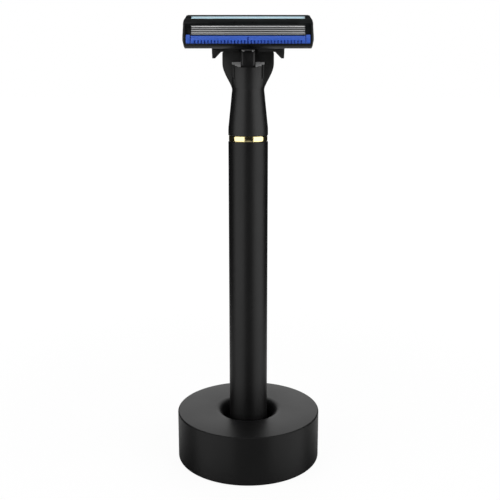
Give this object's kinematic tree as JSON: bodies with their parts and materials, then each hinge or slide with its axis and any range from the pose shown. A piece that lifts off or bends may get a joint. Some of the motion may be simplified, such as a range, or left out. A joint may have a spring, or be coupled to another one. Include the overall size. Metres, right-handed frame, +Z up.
{
  "type": "cartridge razor",
  "caption": "Cartridge razor with a pivoting blade head on a straight round handle, standing upright in a round weighted desk stand.",
  "frame": {"origin": "centre of the stand's underside, under the handle's axis", "axes": "+Z up along the handle, -Y the side that the blades face, +X across the cartridge"},
  "size_m": [0.0496, 0.0496, 0.1508],
  "materials": {
    "stand_paint": "satin black powder coat over steel",
    "foot_rubber": "matte",
    "handle_black": "black anodised, satin",
    "handle_plastic": "satin",
    "inner_steel": "satin",
    "gold": "polished gold plate",
    "neck_black": "black anodised, satin",
    "dock_plastic": "fine spark texture",
    "plunger_plastic": "satin",
    "button_plastic": "satin",
    "yoke_plastic": "satin",
    "cartridge_plastic": "semi-gloss",
    "cap_plastic": "semi-gloss",
    "lubricating_strip": "waxy",
    "guard_rubber": "satin",
    "blade_steel": "ground and polished"
  },
  "bodies": {
    "stand": {"stand_body": "stand_paint", "stand_foot_pad": "foot_rubber", "well_cushion": "foot_rubber"},
    "razor": {"handle_tube": "handle_black", "end_plug": "handle_plastic", "weight_rod": "inner_steel", "coupling_stud": "inner_steel", "accent_ring": "gold", "neck_shell": "neck_black", "dock_body": "dock_plastic", "dock_cover": "dock_plastic", "dock_pin": "inner_steel", "plunger_spring": "inner_steel"},
    "plunger": {"plunger": "plunger_plastic"},
    "release": {"ejector_fork": "plunger_plastic", "release_button": "button_plastic"},
    "yoke": {"yoke": "yoke_plastic"},
    "cartridge": {"cartridge_platform": "cartridge_plastic", "cartridge_cap": "cap_plastic", "lube_strip": "lubricating_strip", "guard_strip": "guard_rubber", "blade_1": "blade_steel", "blade_2": "blade_steel", "blade_3": "blade_steel", "blade_4": "blade_steel", "blade_support_1": "inner_steel", "blade_support_2": "inner_steel", "blade_support_3": "inner_steel", "blade_support_4": "inner_steel"}
  },
  "joints": [
    {"name": "razor_lift", "type": "slide", "parent": "stand", "child": "razor", "axis": [0, 0, 1], "range_m": [0, 0.03]},
    {"name": "release_slide", "type": "slide", "parent": "razor", "child": "release", "axis": [0, 0, 1], "range_m": [0, 0.004]},
    {"name": "cartridge_release", "type": "slide", "parent": "razor", "child": "yoke", "axis": [0, 0, 1], "range_m": [0, 0.004]},
    {"name": "cartridge_pivot", "type": "hinge", "parent": "yoke", "child": "cartridge", "pos_m": [0, -0.0044, 0.14285], "axis": [-1, 0, 0], "range_deg": [0, 40], "stiffness_Nm_per_rad": 0.003, "springref_deg": -20.05},
    {"name": "plunger_slide", "type": "slide", "parent": "razor", "child": "plunger", "axis": [0, 0, -1], "range_m": [0, 0.0019], "deforming": ["plunger_spring"]}
  ],
  "couplings": [
    {"joint": "cartridge_release", "follows": "release_slide", "ratio": 1},
    {"joint": "cartridge_pivot", "follows": "plunger_slide", "rad_per_m": 364.5}
  ]
}
